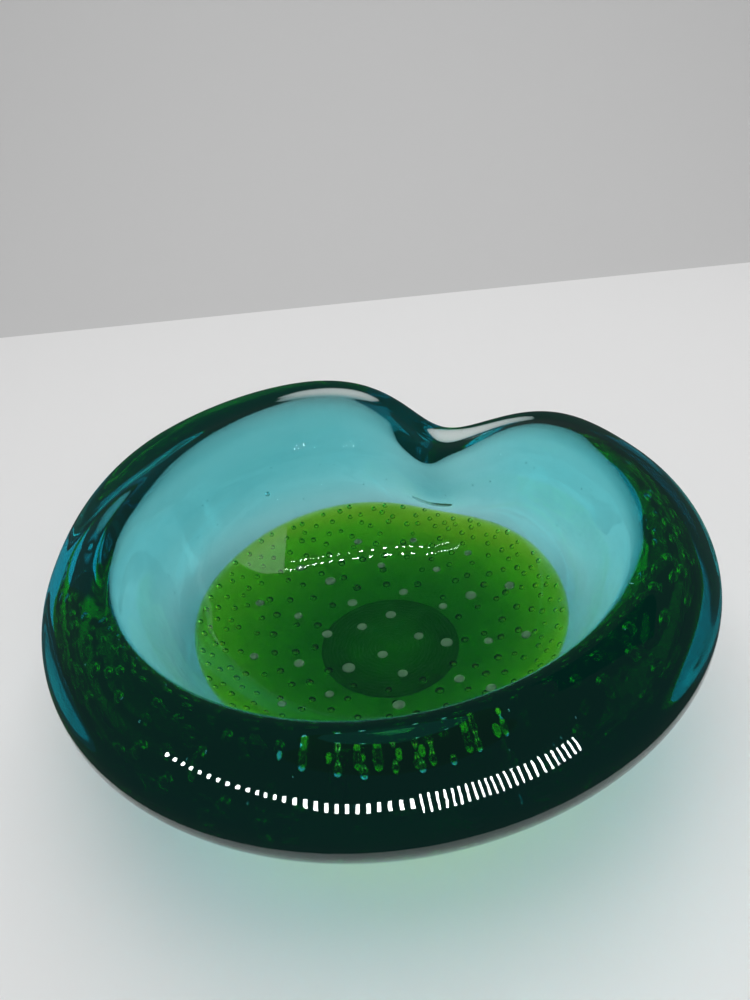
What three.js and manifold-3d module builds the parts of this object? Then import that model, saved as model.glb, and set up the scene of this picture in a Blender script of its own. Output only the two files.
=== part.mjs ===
// Sommerso glass bowl: a heavy round dish of three cased glasses, pinched in at one place on its rim.
// Units are millimetres, +Z is up, and the origin is the centre of the flat ground foot.
import * as THREE from 'three';
import { mergeVertices } from 'three/addons/utils/BufferGeometryUtils.js';
import Module from 'manifold-3d';

// Driving dimensions of the bowl
const RIM_RADIUS = 80.8;
const CREST_HEIGHT = 54;
const FOOT_RADIUS = 20;
const HOLLOW_FLOOR = 12.3;
const CORE_RADIUS = 49.2;
const LAYER_GAP = 0.36;

// The hot rim was squeezed towards the axis and down with one jack, which left the pinch. The jack
// moved the outside of the rim further than its inside, so the rim is narrow there.
const PINCH_AZIMUTH = THREE.MathUtils.degToRad(65);
const PINCH_WIDTH = 0.21;
const PINCH_PUSH = 15.3;
const PINCH_INNER_SHARE = 0.7;
const PINCH_DIP = 10.8;

// The rim's outline is a circle with small waves. It stands a little to one side of the foot, and
// the mouth of the hollow stands a little further towards the front.
const OUTLINE_WAVES = [
  { lobes: 2, cosine: -0.014, sine: -0.013 },
  { lobes: 3, cosine: 0.011, sine: -0.008 },
];
const OUTLINE_SHIFT = { x: -2.4, y: 2.5 };
const MOUTH_SHIFT = { x: -1, y: -6 };

// The glass sagged as the bowl was shaped. The back is fuller below the rim, except at the pinch, and
// the outer edge of the rim stands higher at the back and lower at the front, and the mouth of the
// hollow lies lower at the back.
const BACK_AZIMUTH = THREE.MathUtils.degToRad(100);
const BACK_HEEL = 8;
const BACK_LIFT = 4;
const BACK_DIP = 4.6;
const HEEL_GAP = 0.32;
const FRONT_AZIMUTH = THREE.MathUtils.degToRad(-90);
const FRONT_DROOP = 3;

// Air pockets pressed into the green core: rings of dimples on its top and on its underside
const BUBBLE_RADIUS = 0.9;
const TOP_BUBBLE_RINGS = [
  { radius: 14, count: 8 },
  { radius: 24, count: 12 },
  { radius: 34, count: 18 },
  { radius: 43, count: 24 },
];
const UNDERSIDE_BUBBLE_RINGS = [
  { radius: 18, count: 8 },
  { radius: 33, count: 12 },
];

// Fineness of the facets: sectors crowd towards the pinch, and a section with many points needs no
// samples between them.
const SECTORS = 64;
const CROWDING = 0.5;
const CLOSE_STEPS = 1;
const SPARSE_STEPS = 2;

// Section curves, as radius and height, each from the axis or the wall's foot to the rim
const OUTSIDE = [
  [0, 0], [FOOT_RADIUS, 0], [30, 0.8], [44, 3.8], [57, 9.6], [66, 16.4], [73.6, 25], [78.6, 33],
  [RIM_RADIUS, 40], [80, 45.4], [76, 49.6], [69.8, 52.4], [63.8, CREST_HEIGHT], [61, 53.6],
];
const CASING_TO_TURQUOISE = [
  [0, 2.2], [20, 2.6], [33, 4.6], [46, 9.2], [57.5, 16], [66.6, 24.3], [72.6, 32.4], [75.4, 39.6],
  [74.2, 45], [70, 48.8], [65.4, 50.8], [62.8, 51.2], [61.1, 50.3],
];
const COLOUR_TO_LINING = [
  [0, 10.8], [24, 12.4], [40.6, 17.2], [CORE_RADIUS, 23.8], [51.6, 27.2], [56, 36.8], [58.5, 44.6], [60.2, 49.3],
];
const CORE_UNDERSIDE = [
  [0, 3.2], [18, 3.8], [33, 9], [44, 16.6], [CORE_RADIUS - 0.4, 22.8],
];
const HOLLOW = [
  [0, HOLLOW_FLOOR], [24, 14], [40, 19.1], [50, 28.6], [54.5, 38.2], [56.9, 45.6], [59, 51.4],
];

const wasm = await Module();
wasm.setup();

// A smooth curve through a section's points, as sampled points of radius and height
function sectionCurve(outline, steps) {
  const knots = outline.map(([radius, height]) => new THREE.Vector3(radius, height, 0));
  const curve = new THREE.CatmullRomCurve3(knots, false, 'centripetal');
  const samples = curve.getPoints((knots.length - 1) * steps);
  return samples.map((p) => new THREE.Vector2(Math.max(p.x, 0), p.y));
}

// The same points moved sideways from the direction of travel, to the left for a positive distance
function offsetSection(points, distance) {
  return points.map((point, i) => {
    const before = points[Math.max(i - 1, 0)];
    const after = points[Math.min(i + 1, points.length - 1)];
    const along = after.clone().sub(before).normalize();
    const moved = new THREE.Vector2(point.x - along.y * distance, point.y + along.x * distance);
    return point.x === 0 ? new THREE.Vector2(0, moved.y) : moved;
  });
}

// A closed section: up one curve from the axis to the rim and back along the other to the axis
function sectionBetween(outer, inner) {
  return [...outer, ...inner.slice().reverse()];
}

function bell(azimuth, width) {
  const away = THREE.MathUtils.euclideanModulo(azimuth - PINCH_AZIMUTH + Math.PI, 2 * Math.PI) - Math.PI;
  return Math.exp(-0.5 * (away / width) ** 2);
}

// 1 round the middle azimuth, fading to 0 on the other side of the bowl
function side(azimuth, middle) {
  return THREE.MathUtils.smoothstep(Math.cos(azimuth - middle), -0.3, 0.8);
}

// Carries a point of the round bowl to its place in the hand-shaped bowl.
function shapePoint(radius, azimuth, height) {
  const { smoothstep } = THREE.MathUtils;
  const follow = smoothstep(radius, 22, 66);
  const outer = smoothstep(radius, 54, 84);
  const inner = 1 - outer;
  const mouth = inner * smoothstep(height, 5, 46);
  let wave = 0;
  for (const { lobes, cosine, sine } of OUTLINE_WAVES) {
    wave += cosine * Math.cos(lobes * azimuth) + sine * Math.sin(lobes * azimuth);
  }
  const outerPush = outer * smoothstep(height, -15, 30);
  const innerPush = inner * PINCH_INNER_SHARE * smoothstep(height, 22, 46);
  const push = PINCH_PUSH * (outerPush + innerPush) * bell(azimuth, PINCH_WIDTH);
  const dip = PINCH_DIP * smoothstep(height, 15, 50) * bell(azimuth, PINCH_WIDTH * 1.25);
  const below = smoothstep(radius, 50, 72) * (1 - smoothstep(height, 16, 46));
  const heel = BACK_HEEL * below * side(azimuth, BACK_AZIMUTH) * (1 - bell(azimuth, HEEL_GAP));
  const back = smoothstep(Math.cos(azimuth - BACK_AZIMUTH), 0.1, 0.8);
  const lift = (BACK_LIFT * smoothstep(radius, 70, 80) - BACK_DIP * mouth) * back;
  const edge = smoothstep(radius, 68, 80) * smoothstep(height, 26, 44);
  const droop = FRONT_DROOP * edge * side(azimuth, FRONT_AZIMUTH);
  const shaped = radius * (1 + follow * wave) - push + heel;
  return new THREE.Vector3(
    shaped * Math.cos(azimuth) + OUTLINE_SHIFT.x * follow + MOUTH_SHIFT.x * mouth,
    shaped * Math.sin(azimuth) + OUTLINE_SHIFT.y * follow + MOUTH_SHIFT.y * mouth,
    height - dip + lift - droop,
  );
}

// Turns a closed section round the axis and bends the result into the bowl's outline.
function turnedLayer(section) {
  const geometry = new THREE.LatheGeometry(section, SECTORS);
  geometry.rotateX(Math.PI / 2);
  const position = geometry.attributes.position;
  for (let i = 0; i < position.count; i += 1) {
    const radius = Math.hypot(position.getX(i), position.getY(i));
    const turned = radius < 1e-6 ? 0 : Math.atan2(position.getY(i), position.getX(i));
    const azimuth = turned - CROWDING * Math.sin(turned - PINCH_AZIMUTH);
    const shaped = shapePoint(radius, azimuth, position.getZ(i));
    position.setXYZ(i, shaped.x, shaped.y, shaped.z);
  }
  geometry.computeVertexNormals();
  return geometry;
}

function toSolid(geometry) {
  const bare = geometry.clone();
  bare.deleteAttribute('normal');
  bare.deleteAttribute('uv');
  const merged = mergeVertices(bare, 1e-4);
  const mesh = new wasm.Mesh({
    numProp: 3,
    vertProperties: new Float32Array(merged.attributes.position.array),
    triVerts: new Uint32Array(merged.index.array),
  });
  mesh.merge();
  return new wasm.Manifold(mesh);
}

function toGeometry(solid) {
  const mesh = solid.getMesh();
  const geometry = new THREE.BufferGeometry();
  geometry.setAttribute('position', new THREE.BufferAttribute(mesh.vertProperties, 3));
  geometry.setIndex(new THREE.BufferAttribute(mesh.triVerts, 1));
  geometry.computeVertexNormals();
  return geometry;
}

function heightOn(points, radius) {
  const next = points.findIndex((p) => p.x > radius);
  const low = points[next - 1];
  const high = points[next];
  return low.y + ((radius - low.x) / (high.x - low.x)) * (high.y - low.y);
}

function bubbleGeometry(centre) {
  const bubble = new THREE.SphereGeometry(BUBBLE_RADIUS, 6, 4);
  bubble.translate(centre.x, centre.y, centre.z);
  return bubble;
}

// Presses rings of round dimples into one face of the core, each ring turned half a step from the last.
function dimpled(core, face, rings) {
  let solid = core;
  rings.forEach(({ radius, count }, ring) => {
    for (let i = 0; i < count; i += 1) {
      const azimuth = ((i + (ring % 2) / 2) / count) * 2 * Math.PI;
      const centre = shapePoint(radius, azimuth, heightOn(face, radius));
      solid = solid.subtract(toSolid(bubbleGeometry(centre)));
    }
  });
  return solid;
}

const outside = sectionCurve(OUTSIDE, CLOSE_STEPS);
const casingInner = sectionCurve(CASING_TO_TURQUOISE, CLOSE_STEPS);
const coreUnderside = sectionCurve(CORE_UNDERSIDE, SPARSE_STEPS);
const colourTop = sectionCurve(COLOUR_TO_LINING, SPARSE_STEPS);
const hollow = sectionCurve(HOLLOW, SPARSE_STEPS);

// The green core ends at its rim, and from there up the lining covers turquoise glass.
const coreRim = colourTop.findIndex((point) => point.x >= CORE_RADIUS - 1e-3);
const coreTop = colourTop.slice(0, coreRim + 1);
const wallInner = colourTop.slice(coreRim);

function clearCasing() {
  return turnedLayer(sectionBetween(outside, casingInner));
}

function turquoiseLayer() {
  const outer = offsetSection(casingInner, LAYER_GAP);
  const inner = [...coreUnderside, ...wallInner];
  return turnedLayer(sectionBetween(outer, inner));
}

function greenCore() {
  const underside = offsetSection(coreUnderside, LAYER_GAP);
  const core = toSolid(turnedLayer(sectionBetween(underside, coreTop)));
  const dimpledTop = dimpled(core, coreTop, TOP_BUBBLE_RINGS);
  return toGeometry(dimpled(dimpledTop, underside, UNDERSIDE_BUBBLE_RINGS));
}

function innerLining() {
  return turnedLayer(sectionBetween(offsetSection(colourTop, LAYER_GAP), hollow));
}

const clearGlass = new THREE.MeshStandardMaterial({
  color: 0xdfeee6, roughness: 0.02, metalness: 0, transparent: true, opacity: 0.35,
});
const turquoiseGlass = new THREE.MeshStandardMaterial({
  color: 0x2fb4bd, roughness: 0.02, metalness: 0, transparent: true, opacity: 0.55,
});
const greenGlass = new THREE.MeshStandardMaterial({
  color: 0x2f8f0a, roughness: 0.02, metalness: 0, transparent: true, opacity: 0.7,
});

const bowl = new THREE.Group();
const layers = [
  ['clear_casing', clearCasing(), clearGlass],
  ['turquoise_layer', turquoiseLayer(), turquoiseGlass],
  ['green_core', greenCore(), greenGlass],
  ['inner_lining', innerLining(), clearGlass],
];
for (const [name, geometry, material] of layers) {
  const mesh = new THREE.Mesh(geometry, material);
  mesh.name = name;
  bowl.add(mesh);
}

export default bowl;
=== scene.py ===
"""A heavy cased-glass bowl with a pinched rim: clear casing, turquoise layer, green core with air bubbles."""
import math
import random

import bpy
import numpy as np
from mathutils import Matrix, Vector


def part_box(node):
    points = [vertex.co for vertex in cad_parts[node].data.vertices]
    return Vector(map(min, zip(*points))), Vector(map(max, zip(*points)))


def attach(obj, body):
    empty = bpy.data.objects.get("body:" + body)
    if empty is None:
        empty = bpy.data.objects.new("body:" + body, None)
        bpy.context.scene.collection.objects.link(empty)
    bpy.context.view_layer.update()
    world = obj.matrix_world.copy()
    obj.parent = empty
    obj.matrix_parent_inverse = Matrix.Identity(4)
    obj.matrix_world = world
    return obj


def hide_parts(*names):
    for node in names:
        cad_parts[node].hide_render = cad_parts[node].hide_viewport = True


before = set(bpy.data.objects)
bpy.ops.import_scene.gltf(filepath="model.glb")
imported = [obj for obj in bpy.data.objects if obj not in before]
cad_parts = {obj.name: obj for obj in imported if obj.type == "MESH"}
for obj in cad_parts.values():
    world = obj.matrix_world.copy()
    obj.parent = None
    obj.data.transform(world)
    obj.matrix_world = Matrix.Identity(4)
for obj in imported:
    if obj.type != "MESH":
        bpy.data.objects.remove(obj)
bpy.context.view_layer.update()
casing_low, casing_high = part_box("clear_casing")
core_low, core_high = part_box("green_core")

MM = 0.001
RIM_RADIUS = 80.8
CREST_HEIGHT = casing_high.z / MM
FOOT_RADIUS = 20
HOLLOW_FLOOR = 12.3
CORE_RADIUS = 49.2

# The pinch in the rim, and the hand-shaped outline
PINCH_AZIMUTH = math.radians(65)
PINCH_WIDTH = 0.21
PINCH_PUSH = 15.3
PINCH_INNER_SHARE = 0.7
PINCH_DIP = 10.8
BACK_AZIMUTH = math.radians(100)
BACK_HEEL = 8
BACK_LIFT = 4
BACK_DIP = 4.6
HEEL_GAP = 0.32
FRONT_AZIMUTH = math.radians(-90)
FRONT_DROOP = 3
OUTLINE_WAVES = ((2, -0.014, -0.013), (3, 0.011, -0.008))
OUTLINE_SHIFT = (-2.4, 2.5)
MOUTH_SHIFT = (-1.0, -6.0)

SECTORS = 256
STEPS = 8
BUBBLE_SEED = 11

# Section curves, as radius and height in millimetres
OUTSIDE = [
    (0, 0), (FOOT_RADIUS, 0), (30, 0.8), (44, 3.8), (57, 9.6), (66, 16.4), (73.6, 25), (78.6, 33),
    (RIM_RADIUS, 40), (80, 45.4), (76, 49.6), (69.8, 52.4), (63.8, CREST_HEIGHT), (60.4, 53.1), (58.6, 50.4),
]
HOLLOW = [
    (56.9, 45.6), (54.5, 38.2), (50, 28.6), (40, 19.1), (24, 14), (0, HOLLOW_FLOOR),
]
TURQUOISE_OUTER = [
    (0, 2.2), (20, 2.6), (33, 4.6), (46, 9.2), (57.5, 16), (66.6, 24.3), (72.6, 32.4), (75.4, 39.6),
    (74.2, 45), (70, 48.8), (65.4, 50.8), (62, 51.3), (60.1, 49.8),
]
TURQUOISE_INNER = [
    (57.9, 45), (55.3, 37.6), (50.7, 28), (40.2, 18.4), (24, 13.3), (0, 11.6),
]
CORE_OUTER = [
    (0, 3.2), (18, 3.8), (33, 9), (44, 16.6), (48.5, 21.8), (CORE_RADIUS, 23.8),
]
CORE_INNER = [
    (47.8, 23), (40.2, 17.5), (24, 12.9), (0, 11.2),
]


def smoothstep(x, low, high):
    share = np.clip((x - low) / (high - low), 0, 1)
    return share * share * (3 - 2 * share)


def bell(azimuth, width):
    away = (azimuth - PINCH_AZIMUTH + math.pi) % (2 * math.pi) - math.pi
    return np.exp(-0.5 * (away / width) ** 2)


def side(azimuth, middle):
    """1 round the middle azimuth, fading to 0 on the far side of the bowl."""
    return smoothstep(np.cos(azimuth - middle), -0.3, 0.8)


def shape_points(radius, azimuth, height):
    """Carries points of the round bowl to their places in the hand-shaped bowl, in millimetres."""
    follow = smoothstep(radius, 22, 66)
    rise = smoothstep(height, 5, 46)
    outer = smoothstep(radius, 54, 84)
    mouth = (1 - outer) * rise
    wave = sum(c * np.cos(n * azimuth) + s * np.sin(n * azimuth) for n, c, s in OUTLINE_WAVES)
    outer_push = outer * smoothstep(height, -15, 30)
    inner_push = (1 - outer) * PINCH_INNER_SHARE * smoothstep(height, 22, 46)
    push = PINCH_PUSH * (outer_push + inner_push) * bell(azimuth, PINCH_WIDTH)
    dip = PINCH_DIP * smoothstep(height, 15, 50) * bell(azimuth, PINCH_WIDTH * 1.25)
    heel = BACK_HEEL * smoothstep(radius, 50, 72) * (1 - smoothstep(height, 16, 46))
    heel = heel * side(azimuth, BACK_AZIMUTH) * (1 - bell(azimuth, HEEL_GAP))
    back = smoothstep(np.cos(azimuth - BACK_AZIMUTH), 0.1, 0.8)
    lift = (BACK_LIFT * smoothstep(radius, 70, 80) - BACK_DIP * mouth) * back
    droop = FRONT_DROOP * smoothstep(radius, 68, 80) * smoothstep(height, 26, 44) * side(azimuth, FRONT_AZIMUTH)
    shaped = radius * (1 + follow * wave) - push + heel
    x = shaped * np.cos(azimuth) + OUTLINE_SHIFT[0] * follow + MOUTH_SHIFT[0] * mouth
    y = shaped * np.sin(azimuth) + OUTLINE_SHIFT[1] * follow + MOUTH_SHIFT[1] * mouth
    return np.stack([x, y, height - dip + lift - droop], axis=-1)


def section_curve(outline, steps):
    """A centripetal Catmull-Rom curve through a section whose two ends lie on the axis."""
    knots = np.array(outline, float)
    before = knots[1] * (-1, 1)
    after = knots[-2] * (-1, 1)
    knots = np.vstack([before, knots, after])
    samples = []
    for a, b, c, d in zip(knots[:-3], knots[1:-2], knots[2:-1], knots[3:], strict=True):
        t1 = math.sqrt(np.linalg.norm(b - a))
        t2 = t1 + math.sqrt(np.linalg.norm(c - b))
        t3 = t2 + math.sqrt(np.linalg.norm(d - c))
        for t in np.linspace(t1, t2, steps, endpoint=False):
            ab = a + (b - a) * t / t1
            bc = b + (c - b) * (t - t1) / (t2 - t1)
            cd = c + (d - c) * (t - t2) / (t3 - t2)
            abc = ab + (bc - ab) * t / t2
            bcd = bc + (cd - bc) * (t - t1) / (t3 - t1)
            samples.append(abc + (bcd - abc) * (t - t1) / (t2 - t1))
    samples.append(knots[-2])
    curve = np.array(samples)
    curve[:, 0] = np.maximum(curve[:, 0], 0)
    curve[:, 1] = np.maximum(curve[:, 1], 0)
    return curve


def add_object(name, points, faces):
    mesh = bpy.data.meshes.new(name)
    mesh.from_pydata([tuple(p) for p in points], [], faces)
    mesh.update()
    for face in mesh.polygons:
        face.use_smooth = True
    piece = bpy.data.objects.new(name, mesh)
    bpy.context.scene.collection.objects.link(piece)
    return piece


def turned_piece(name, outline, sectors=SECTORS, steps=STEPS, ripple=None):
    """Turns a closed section round the axis and bends it into the bowl's outline."""
    curve = section_curve(outline, steps)
    azimuth = np.linspace(0, 2 * math.pi, sectors, endpoint=False)[None, :]
    radius = curve[1:-1, 0][:, None] + 0 * azimuth
    height = curve[1:-1, 1][:, None] + 0 * azimuth
    rings = shape_points(radius, azimuth + 0 * radius, height)
    if ripple is not None:
        rings = ripple(rings, radius, azimuth, height)
    rows = len(curve) - 2
    points = [(0, 0, curve[0, 1])] + rings.reshape(-1, 3).tolist() + [(0, 0, curve[-1, 1])]
    points = np.array(points) * MM
    last = len(points) - 1

    def at(row, sector):
        return 1 + row * sectors + sector % sectors

    faces = [(0, at(0, i + 1), at(0, i)) for i in range(sectors)]
    for row in range(rows - 1):
        for i in range(sectors):
            faces.append((at(row, i), at(row, i + 1), at(row + 1, i + 1), at(row + 1, i)))
    faces += [(last, at(rows - 1, i), at(rows - 1, i + 1)) for i in range(sectors)]
    return add_object(name, points, faces)


def ball(centre, width, thickness, turns=14, rows=9):
    """Points and faces of one small closed round body, squashed along Z, about a centre in millimetres."""
    points = [(0, 0, -thickness)]
    for row in range(1, rows):
        polar = math.pi * row / rows
        for turn in range(turns):
            around = 2 * math.pi * turn / turns
            points.append((
                width * math.sin(polar) * math.cos(around),
                width * math.sin(polar) * math.sin(around),
                -thickness * math.cos(polar),
            ))
    points.append((0, 0, thickness))
    last = len(points) - 1

    def at(row, turn):
        return 1 + row * turns + turn % turns

    faces = [(0, at(0, i + 1), at(0, i)) for i in range(turns)]
    for row in range(rows - 2):
        faces += [(at(row, i), at(row, i + 1), at(row + 1, i + 1), at(row + 1, i)) for i in range(turns)]
    faces += [(last, at(rows - 2, i), at(rows - 2, i + 1)) for i in range(turns)]
    return (np.array(points) + np.array(centre)) * MM, faces


def ball_cloud(name, balls):
    """One object that holds many small closed bodies."""
    points = []
    faces = []
    for centre, width, thickness in balls:
        start = len(points)
        ball_points, ball_faces = ball(centre, width, thickness)
        points.extend(ball_points.tolist())
        faces.extend(tuple(start + i for i in face) for face in ball_faces)
    return add_object(name, points, faces)


def place(radius, azimuth, height):
    return shape_points(np.array(radius, float), np.array(azimuth, float), np.array(height, float))


# ---------------------------------------------------------------- materials

def node_tree(name):
    material = bpy.data.materials.new(name)
    material.use_nodes = True
    nodes = material.node_tree.nodes
    return material, nodes, material.node_tree.links, nodes["Principled BSDF"]


def absorb(material, per_metre):
    """Plain absorption inside a closed piece, as a share lost per metre for red, green and blue."""
    nodes = material.node_tree.nodes
    volume = nodes.new("ShaderNodeVolumeAbsorption")
    density = max(per_metre)
    volume.inputs["Density"].default_value = density
    volume.inputs["Color"].default_value = (*[1 - lost / density for lost in per_metre], 1)
    material.node_tree.links.new(volume.outputs[0], nodes["Material Output"].inputs["Volume"])


def noise_over(nodes, links, stretch, scale, detail=3, roughness=0.5):
    """A noise fixed to the piece, stretched by a scale for each axis."""
    spot = nodes.new("ShaderNodeTexCoord")
    mapping = nodes.new("ShaderNodeMapping")
    mapping.inputs["Scale"].default_value = stretch
    links.new(spot.outputs["Object"], mapping.inputs["Vector"])
    noise = nodes.new("ShaderNodeTexNoise")
    noise.inputs["Scale"].default_value = scale
    noise.inputs["Detail"].default_value = detail
    noise.inputs["Roughness"].default_value = roughness
    links.new(mapping.outputs["Vector"], noise.inputs["Vector"])
    return noise.outputs["Fac"]


def spread(nodes, links, value, start, end, low, high):
    """Takes value from start..end to low..high."""
    ramp = nodes.new("ShaderNodeMapRange")
    links.new(value, ramp.inputs["Value"])
    ramp.inputs["From Min"].default_value = start
    ramp.inputs["From Max"].default_value = end
    ramp.inputs["To Min"].default_value = low
    ramp.inputs["To Max"].default_value = high
    return ramp.outputs["Result"]


def glass(name, ior, per_metre=None):
    material, nodes, links, shader = node_tree(name)
    shader.inputs["Base Color"].default_value = (1, 1, 1, 1)
    shader.inputs["Roughness"].default_value = 0
    shader.inputs["IOR"].default_value = ior
    shader.inputs["Transmission Weight"].default_value = 1
    if per_metre:
        absorb(material, per_metre)
    return material


def handled(material):
    """Fire-polished and handled glass: faint smears of wear, and slow ripples left by the tools."""
    nodes, links = material.node_tree.nodes, material.node_tree.links
    shader = nodes["Principled BSDF"]
    smears = noise_over(nodes, links, (1, 1, 2.5), SMEAR_SCALE, 6, 0.6)
    links.new(spread(nodes, links, smears, 0.55, 0.75, 0, SMEAR_ROUGHNESS), shader.inputs["Roughness"])
    bump = nodes.new("ShaderNodeBump")
    bump.inputs["Strength"].default_value = RIPPLE_STRENGTH
    bump.inputs["Distance"].default_value = RIPPLE_DEPTH
    links.new(noise_over(nodes, links, (1, 1, 0.6), RIPPLE_SCALE, 1), bump.inputs["Height"])
    links.new(bump.outputs["Normal"], shader.inputs["Normal"])
    return material


def streaked(material, dark, scale):
    """Melted colour is never even: fine cords of denser glass drawn round the bowl."""
    nodes, links = material.node_tree.nodes, material.node_tree.links
    shader = nodes["Principled BSDF"]
    cords = noise_over(nodes, links, (1, 1, 4), scale, 5, 0.65)
    colour = nodes.new("ShaderNodeValToRGB")
    colour.color_ramp.elements[0].position = 0.32
    colour.color_ramp.elements[0].color = (*dark, 1)
    colour.color_ramp.elements[1].position = 0.55
    colour.color_ramp.elements[1].color = (1, 1, 1, 1)
    links.new(cords, colour.inputs["Fac"])
    links.new(colour.outputs["Color"], shader.inputs["Base Color"])
    return material


def bubble_skin_painted_reflection():
    """The wide bubbles were blown thin and their skins catch light, so they look pale; a matt green colour on the
    skins is painted reflection standing in for that light.
    """
    material, nodes, links, shader = node_tree("wide_bubble_painted_reflection")
    noise = nodes.new("ShaderNodeTexNoise")
    noise.inputs["Scale"].default_value = 900
    ramp = nodes.new("ShaderNodeMapRange")
    ramp.inputs["To Min"].default_value = 0.25
    ramp.inputs["To Max"].default_value = 0.6
    links.new(noise.outputs["Fac"], ramp.inputs["Value"])
    links.new(ramp.outputs["Result"], shader.inputs["Roughness"])
    # Painted reflection: a matt green colour that makes the bubble skins look pale.
    shader.inputs["Base Color"].default_value = (0.22, 0.42, 0.24, 1)
    shader.inputs["IOR"].default_value = 1.1
    shader.inputs["Transmission Weight"].default_value = 0.45
    return material


def ground_glass_painted_shade():
    """The foot was ground flat on a wheel, with fine concentric scratches; its matt grey is painted shade for the dark
    where the foot stands on the table.
    """
    material, nodes, links, shader = node_tree("ground_glass_painted_shade")
    place_node = nodes.new("ShaderNodeTexCoord")
    rings = nodes.new("ShaderNodeTexWave")
    rings.wave_type = "RINGS"
    rings.rings_direction = "Z"
    rings.inputs["Scale"].default_value = 260
    rings.inputs["Distortion"].default_value = 3
    links.new(place_node.outputs["Object"], rings.inputs["Vector"])
    ramp = nodes.new("ShaderNodeValToRGB")
    # Painted shade: these greys make the foot a dark disc, standing in for the shade where it meets the table.
    ramp.color_ramp.elements[0].color = (0.48, 0.52, 0.5, 1)
    ramp.color_ramp.elements[1].color = (0.58, 0.62, 0.6, 1)
    links.new(rings.outputs["Fac"], ramp.inputs["Fac"])
    links.new(ramp.outputs["Color"], shader.inputs["Base Color"])
    shader.inputs["Roughness"].default_value = 0.7
    return material


def ground_foot_painted_shade():
    """A closed skin a tenth of a millimetre thick on the flat of the foot, which carries the foot's painted shade."""
    outline = [(0, FOOT_SKIN[0]), (FOOT_RADIUS - 0.4, FOOT_SKIN[0]), (FOOT_RADIUS - 0.3, FOOT_SKIN[1]), (0, FOOT_SKIN[1])]
    sectors = 96
    points = []
    for radius, height in outline[1:3]:
        for i in range(sectors):
            turn = 2 * math.pi * i / sectors
            points.append((radius * math.cos(turn) * MM, radius * math.sin(turn) * MM, height * MM))
    points += [(0, 0, FOOT_SKIN[0] * MM), (0, 0, FOOT_SKIN[1] * MM)]
    low, high = len(points) - 2, len(points) - 1
    faces = []
    for i in range(sectors):
        after = (i + 1) % sectors
        faces.append((low, after, i))
        faces.append((i, after, sectors + after, sectors + i))
        faces.append((high, sectors + i, sectors + after))
    return add_object("ground_foot_painted_shade", points, faces)


FOOT_SKIN = (-0.12, -0.02)
SMEAR_SCALE = 45
SMEAR_ROUGHNESS = 0.03
RIPPLE_SCALE = 55
RIPPLE_STRENGTH = 0.35
RIPPLE_DEPTH = 0.0004
TURQUOISE_CORDS = (0.9, 0.97, 0.98)
GREEN_CORDS = (0.78, 0.9, 0.7)


# ---------------------------------------------------------------- pieces

CLEAR_LOSS = (6, 1.5, 2)
# Painted glow: the clear casing is given a faint green emission, so its dark rim glows a little though it is no lamp.
PAINTED_GLOW_COLOUR = (0.1, 1, 0.8)
PAINTED_GLOW_STRENGTH = 0.009
TURQUOISE_LOSS = (70, 17, 13)
GREEN_LOSS = (200, 86, 1800)

body = turned_piece("glass_body", OUTSIDE + HOLLOW)
clear = handled(glass("clear_glass", 1.5, CLEAR_LOSS))
# Painted glow on the clear casing: a faint green emission.
clear.node_tree.nodes["Principled BSDF"].inputs["Emission Color"].default_value = (*PAINTED_GLOW_COLOUR, 1)
clear.node_tree.nodes["Principled BSDF"].inputs["Emission Strength"].default_value = PAINTED_GLOW_STRENGTH
body.data.materials.append(clear)
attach(body, "root")
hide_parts("clear_casing", "inner_lining")

turquoise = turned_piece("turquoise_glass_layer", TURQUOISE_OUTER + TURQUOISE_INNER)
turquoise.data.materials.append(streaked(glass("turquoise_glass", 1.0, TURQUOISE_LOSS), TURQUOISE_CORDS, 70))
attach(turquoise, "root")
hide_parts("turquoise_layer")

core = turned_piece("green_glass_core", CORE_OUTER + CORE_INNER, sectors=160)
core.data.materials.append(streaked(glass("green_glass", 1.0, GREEN_LOSS), GREEN_CORDS, 110))
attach(core, "root")
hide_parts("green_core")


core_curve = section_curve(CORE_OUTER + CORE_INNER, STEPS)
core_rim = int(np.argmax(core_curve[:, 0]))
core_top_curve = core_curve[core_rim:][::-1]
core_bottom_curve = core_curve[:core_rim + 1]


def core_top(radius):
    return float(np.interp(radius, core_top_curve[:, 0], core_top_curve[:, 1]))


def core_bottom(radius):
    return float(np.interp(radius, core_bottom_curve[:, 0], core_bottom_curve[:, 1]))


def row_bubbles(rng):
    """Radial rows of fine bubbles just under the top face of the core, close together at its edge."""
    balls = []
    for row in range(BUBBLE_ROWS):
        for ring, (radius, size) in enumerate(ROW_RINGS):
            turn = (row + 0.5 * (ring % 2)) / BUBBLE_ROWS * 2 * math.pi + rng.uniform(-0.03, 0.03)
            keep_every = 4 if radius < SPARSEST_RADIUS else 2 if radius < SPARSE_RADIUS else 1
            if (row + ring) % keep_every:
                continue
            at = radius + rng.uniform(-0.8, 0.8)
            depth = core_top(at) - size - 0.35 - rng.uniform(0, 0.4)
            width = size * rng.uniform(0.85, 1.15)
            balls.append((place(at, turn, depth), width, width * 0.85))
    return balls


def wide_bubbles(rng):
    """A second, sparser grid of wide flat bubbles in the clear lining over the core."""
    balls = []
    for radius, count, size in WIDE_RINGS:
        start = rng.uniform(0, 2 * math.pi)
        for i in range(count):
            turn = start + (i + rng.uniform(-0.12, 0.12)) / count * 2 * math.pi
            at = radius + rng.uniform(-1, 1)
            width = size * rng.uniform(0.75, 1.2)
            balls.append((place(at, turn, core_top(at) + 0.55), width, width * 0.25))
    return balls


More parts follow.
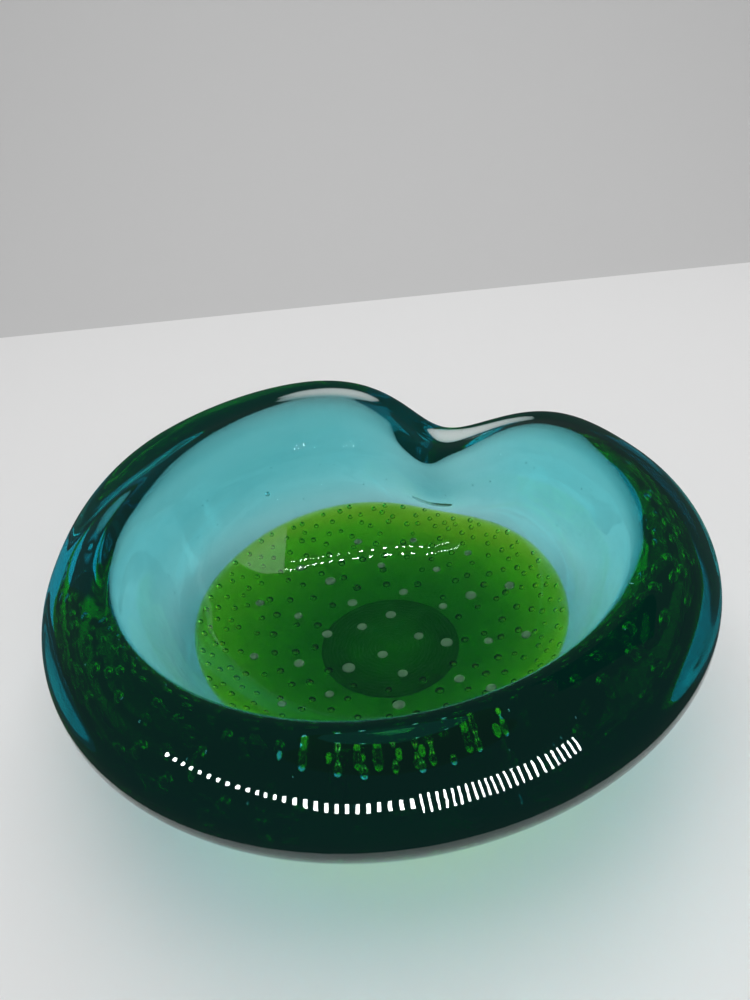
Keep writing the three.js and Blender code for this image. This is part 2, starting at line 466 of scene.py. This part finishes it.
def seeds(rng):
    """Specks of gas in the turquoise glass of the wall, and one stray bubble."""
    balls = []
    for _ in range(SEED_COUNT):
        height = rng.uniform(22, 46)
        radius = 48 + 0.22 * height + rng.uniform(2.5, 9)
        size = rng.uniform(0.1, 0.24)
        balls.append((place(radius, rng.uniform(0, 2 * math.pi), height), size, size))
    balls.append((place(56.5, STRAY_AZIMUTH, 33), 0.8, 0.7))
    return balls


BUBBLE_ROWS = 56
SPARSE_RADIUS = 41
SPARSEST_RADIUS = 28
ROW_RINGS = [(47.9, 0.8), (45.6, 0.82), (42.8, 0.86), (39.6, 0.9), (35.8, 0.95), (31.4, 1), (26.4, 1.05), (20.6, 1.05)]
WIDE_RINGS = [(8, 4, 1.5), (17, 7, 1.5), (26.5, 10, 1.4), (36.5, 12, 1.3)]
SEED_COUNT = 70
STRAY_AZIMUTH = math.radians(122)

rng = random.Random(BUBBLE_SEED)
for name, balls in (
    ("air_bubble_rows", row_bubbles(rng)),
    ("fine_glass_seeds", seeds(rng)),
):
    cloud = ball_cloud(name, balls)
    cloud.data.materials.append(glass(name + "_skin", 1 / 1.5))
    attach(cloud, "root")

# The wide bubbles carry a painted reflection on their skins.
pale_painted_bubbles = ball_cloud("wide_air_bubbles", wide_bubbles(rng))
pale_painted_bubbles.data.materials.append(bubble_skin_painted_reflection())
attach(pale_painted_bubbles, "root")

# Painted shade: an opaque grey skin darkens the foot where it stands on the table.
foot = ground_foot_painted_shade()
foot.data.materials.append(ground_glass_painted_shade())
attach(foot, "root")


# ---------------------------------------------------------------- stage, light and camera

SWEEP_START = 0.3
NEAR_TABLE = 0.105
SWEEP_RADIUS = 0.3
SURROUND = 0.045
FILL = 0.28
LAMP_DISTANCE = 0.5
LAMP_RADIANCE = 60
# First and last azimuth, lowest and highest elevation in degrees, how many lamps, and their width
RIM_LAMP_ROWS = [
    (-152, -84, 17.5, 19.5, 26, 0.9),
    (-84, -42, 15.5, 20.5, 24, 0.5),
]
HOLLOW_LAMP_ROWS = [
    (60, 125, 60, 60.4, 30, 0.55),
    (60, 125, 63, 63.4, 30, 0.55),
]
WALL_LAMP_ROWS = [
    (-165, -20, 18.4, 18.55, 70, 0.35),
]
# Where the glass stands that mirrors each set, in metres: a centre and a reach
NEAR_RIM = ((0, -0.07, 0.045), 0.085)
HOLLOW_SPOT = ((0, 0, 0.02), 0.046)
FAR_WALL = ((0, 0.07, 0.04), 0.075)
WINDOW_DISTANCE = 0.7
WINDOW_RADIANCE = 1.6
WINDOW_CORNERS = [(-1, 26), (-14, 57), (66, 59), (26, 38)]
# Azimuth, elevation, reach and soft edge in degrees, and strength: first the light that falls through
# the glass onto the table, then the light box's side openings, which show blue in the rim's edges
GLOW_LOBES = [
    (90, 84, 26, 5, 3.6),
    (108, 42, 12, 4, 6.0),
]
SIDE_LOBES = [
    (30, 25, 26, 8, 1.6),
    (165, 22, 34, 8, 1.6),
    (222, 30, 30, 8, 0.6),
    (80, 2, 8, 3, 0.4),
]


def stage_piece(name, points, faces, shade):
    piece = add_object(name, points, faces)
    material, nodes, links, shader = node_tree(name + "_paper")
    shader.inputs["Base Color"].default_value = (shade, shade, shade, 1)
    shader.inputs["Roughness"].default_value = 0.9
    shader.inputs["Specular IOR Level"].default_value = 0
    piece.data.materials.append(material)
    return piece


def stage_floor():
    """The table, then a paper sweep behind it that only the camera and scattered light see; the sweep's paper is
    painted a darker grey than the table's, as painted shade.
    """
    half = 3.0
    drop = 0.0002
    edge = SWEEP_START
    corners = [(-half, -half, -drop), (half, -half, -drop), (half, edge, -drop), (-half, edge, -drop)]
    table = stage_piece("studio_floor", corners, [(0, 1, 2, 3)], 0.8)
    table.visible_glossy = False
    turns = [2 * math.pi * i / 96 for i in range(96)]
    rim = [(NEAR_TABLE * math.cos(t), NEAR_TABLE * math.sin(t), 0.1 * drop - drop) for t in turns]
    stage_piece("near_table", rim, [tuple(range(96))], 0.8)
    profile = [(edge, -drop)]
    for k in range(1, 17):
        turn = k / 16 * math.pi / 2
        y = edge + SWEEP_RADIUS * math.sin(turn)
        profile.append((y, SWEEP_RADIUS * (1 - math.cos(turn)) - drop))
    profile.append((profile[-1][0], 2.0))
    points = [(x, y, z) for y, z in profile for x in (-half, half)]
    faces = [(2 * i, 2 * i + 1, 2 * i + 3, 2 * i + 2) for i in range(len(profile) - 1)]
    # Painted shade: the sweep is the same paper as the table, painted a darker grey (0.585 against 0.8).
    sweep = stage_piece("paper_sweep", points, faces, 0.585)
    sweep.visible_glossy = False
    sweep.visible_transmission = False


def toward(azimuth, elevation, distance):
    flat = distance * math.cos(elevation)
    return Vector((flat * math.cos(azimuth), flat * math.sin(azimuth), distance * math.sin(elevation)))


def world_light():
    """Dark for what the glass mirrors and refracts, bright for the light that reaches the table through it."""
    world = bpy.data.worlds.new("studio_world")
    bpy.context.scene.world = world
    world.use_nodes = True
    world.cycles.sampling_method = "NONE"
    nodes = world.node_tree.nodes
    links = world.node_tree.links

    def compute(operation, a, b, c=None):
        node = nodes.new("ShaderNodeMath")
        node.operation = operation
        for socket, value in zip(node.inputs, (a, b, c)):
            if isinstance(value, (int, float)):
                socket.default_value = value
            elif value is not None:
                links.new(value, socket)
        return node.outputs[0]

    def lobe(azimuth, elevation, reach, edge, strength):
        dot = nodes.new("ShaderNodeVectorMath")
        dot.operation = "DOT_PRODUCT"
        links.new(sky.outputs["Generated"], dot.inputs[0])
        dot.inputs[1].default_value = toward(math.radians(azimuth), math.radians(elevation), 1)
        ramp = nodes.new("ShaderNodeMapRange")
        ramp.interpolation_type = "SMOOTHSTEP"
        links.new(dot.outputs["Value"], ramp.inputs["Value"])
        ramp.inputs["From Min"].default_value = math.cos(math.radians(reach + edge))
        ramp.inputs["From Max"].default_value = math.cos(math.radians(reach - edge))
        ramp.inputs["To Max"].default_value = strength
        return ramp.outputs["Result"]

    sky = nodes.new("ShaderNodeTexCoord")
    path = nodes.new("ShaderNodeLightPath")
    scattered = compute("GREATER_THAN", path.outputs["Diffuse Depth"], 0.5)
    through = compute("MULTIPLY", scattered, path.outputs["Is Transmission Ray"])
    straight = compute("SUBTRACT", path.outputs["Is Transmission Ray"], through)
    unseen = compute("MULTIPLY_ADD", scattered, FILL - SURROUND, SURROUND)
    for lobes, share in ((GLOW_LOBES, through), (SIDE_LOBES, straight)):
        for azimuth, elevation, reach, edge, strength in lobes:
            unseen = compute("MULTIPLY_ADD", share, lobe(azimuth, elevation, reach, edge, strength), unseen)
    mix = nodes.new("ShaderNodeMix")
    mix.data_type = "FLOAT"
    links.new(path.outputs["Is Camera Ray"], mix.inputs["Factor"])
    links.new(unseen, mix.inputs["A"])
    mix.inputs["B"].default_value = 0.5
    background = nodes["Background"]
    background.inputs["Color"].default_value = (1, 1, 1, 1)
    links.new(mix.outputs["Result"], background.inputs["Strength"])


def soft_light(name, place, target, width, depth, watts):
    data = bpy.data.lights.new(name, "AREA")
    data.shape = "RECTANGLE"
    data.size = width
    data.size_y = depth
    data.energy = watts
    light = bpy.data.objects.new(name, data)
    bpy.context.scene.collection.objects.link(light)
    light.location = place
    light.rotation_euler = (Vector(target) - Vector(place)).to_track_quat("-Z", "Y").to_euler()
    light.visible_glossy = False
    light.visible_transmission = False
    light.visible_camera = False
    return light


def mirrored_panel(name, quads, radiance, glass_spot):
    """Lit panels that show only as reflections, in glass within glass_spot's reach of its centre."""
    centre, reach = glass_spot
    points = [tuple(corner) for quad in quads for corner in quad]
    faces = [tuple(range(4 * i, 4 * i + 4)) for i in range(len(quads))]
    panel = add_object(name, points, faces)
    material = bpy.data.materials.new(name)
    material.use_nodes = True
    material.cycles.emission_sampling = "NONE"
    nodes = material.node_tree.nodes
    nodes.remove(nodes["Principled BSDF"])
    emission = nodes.new("ShaderNodeEmission")
    emission.inputs["Strength"].default_value = radiance
    links = material.node_tree.links
    spot = nodes.new("ShaderNodeNewGeometry")
    path = nodes.new("ShaderNodeLightPath")
    back = nodes.new("ShaderNodeVectorMath")
    back.operation = "SCALE"
    links.new(spot.outputs["Incoming"], back.inputs[0])
    links.new(path.outputs["Ray Length"], back.inputs["Scale"])
    origin = nodes.new("ShaderNodeVectorMath")
    origin.operation = "ADD"
    links.new(spot.outputs["Position"], origin.inputs[0])
    links.new(back.outputs[0], origin.inputs[1])
    away = nodes.new("ShaderNodeVectorMath")
    away.operation = "DISTANCE"
    links.new(origin.outputs[0], away.inputs[0])
    away.inputs[1].default_value = centre
    strength = spread(nodes, links, away.outputs["Value"], reach, reach + 0.003, radiance, 0)
    links.new(strength, emission.inputs["Strength"])
    links.new(emission.outputs[0], nodes["Material Output"].inputs["Surface"])
    panel.data.materials.append(material)
    panel.visible_camera = False
    panel.visible_diffuse = False
    panel.visible_transmission = False
    panel.visible_shadow = False


def lamp_rows(name, rows, glass_spot):
    """Rows of small lamps in the light box, each a short upright bar as seen from the bowl."""
    quads = []
    for first, last, low, high, count, width in rows:
        for i in range(count):
            azimuth = math.radians(first + (last - first) * (i + 0.5) / count)
            half = math.radians(width / 2)
            turns = (azimuth - half, azimuth + half, azimuth + half, azimuth - half)
            lifts = (low, low, high, high)
            quads.append([toward(a, math.radians(e), LAMP_DISTANCE) for a, e in zip(turns, lifts)])
    mirrored_panel(name, quads, LAMP_RADIANCE, glass_spot)


def window():
    corners = [toward(math.radians(a), math.radians(e), WINDOW_DISTANCE) for a, e in WINDOW_CORNERS]
    mirrored_panel("window_glow", [corners], WINDOW_RADIANCE, HOLLOW_SPOT)


def camera():
    data = bpy.data.cameras.new("camera")
    data.sensor_fit = "VERTICAL"
    data.sensor_height = 36
    data.sensor_width = 36
    data.lens = 27
    data.clip_start = 0.005
    holder = bpy.data.objects.new("camera", data)
    bpy.context.scene.collection.objects.link(holder)
    pitch = math.radians(33.93)
    roll = math.radians(-5.76)
    aim = Matrix.Rotation(math.pi / 2 - pitch, 4, "X") @ Matrix.Rotation(roll, 4, "Z")
    holder.matrix_world = Matrix.Translation((-0.00015, -0.14885, 0.15505)) @ aim
    bpy.context.scene.camera = holder


stage_floor()
world_light()
lamp_rows("rim_lamps", RIM_LAMP_ROWS, NEAR_RIM)
lamp_rows("hollow_lamps", HOLLOW_LAMP_ROWS, HOLLOW_SPOT)
lamp_rows("wall_lamps", WALL_LAMP_ROWS, FAR_WALL)
window()
soft_light("top_light", (0, 0.1, 0.9), (0, 0, 0), 0.9, 0.9, 5.3)
soft_light("front_light", (0.2, -0.7, 0.6), (0, -0.1, 0), 0.6, 0.4, 2.1)
soft_light("back_light", (0.1, 0.75, 0.7), (0, 0, 0), 0.8, 0.4, 4.8)
camera()

scene = bpy.context.scene
scene.cycles.max_bounces = 32
scene.cycles.transmission_bounces = 32
scene.cycles.glossy_bounces = 12
scene.cycles.diffuse_bounces = 4
scene.cycles.caustics_refractive = True
scene.cycles.caustics_reflective = True
scene.cycles.sample_clamp_indirect = 8
scene.view_settings.view_transform = "Standard"
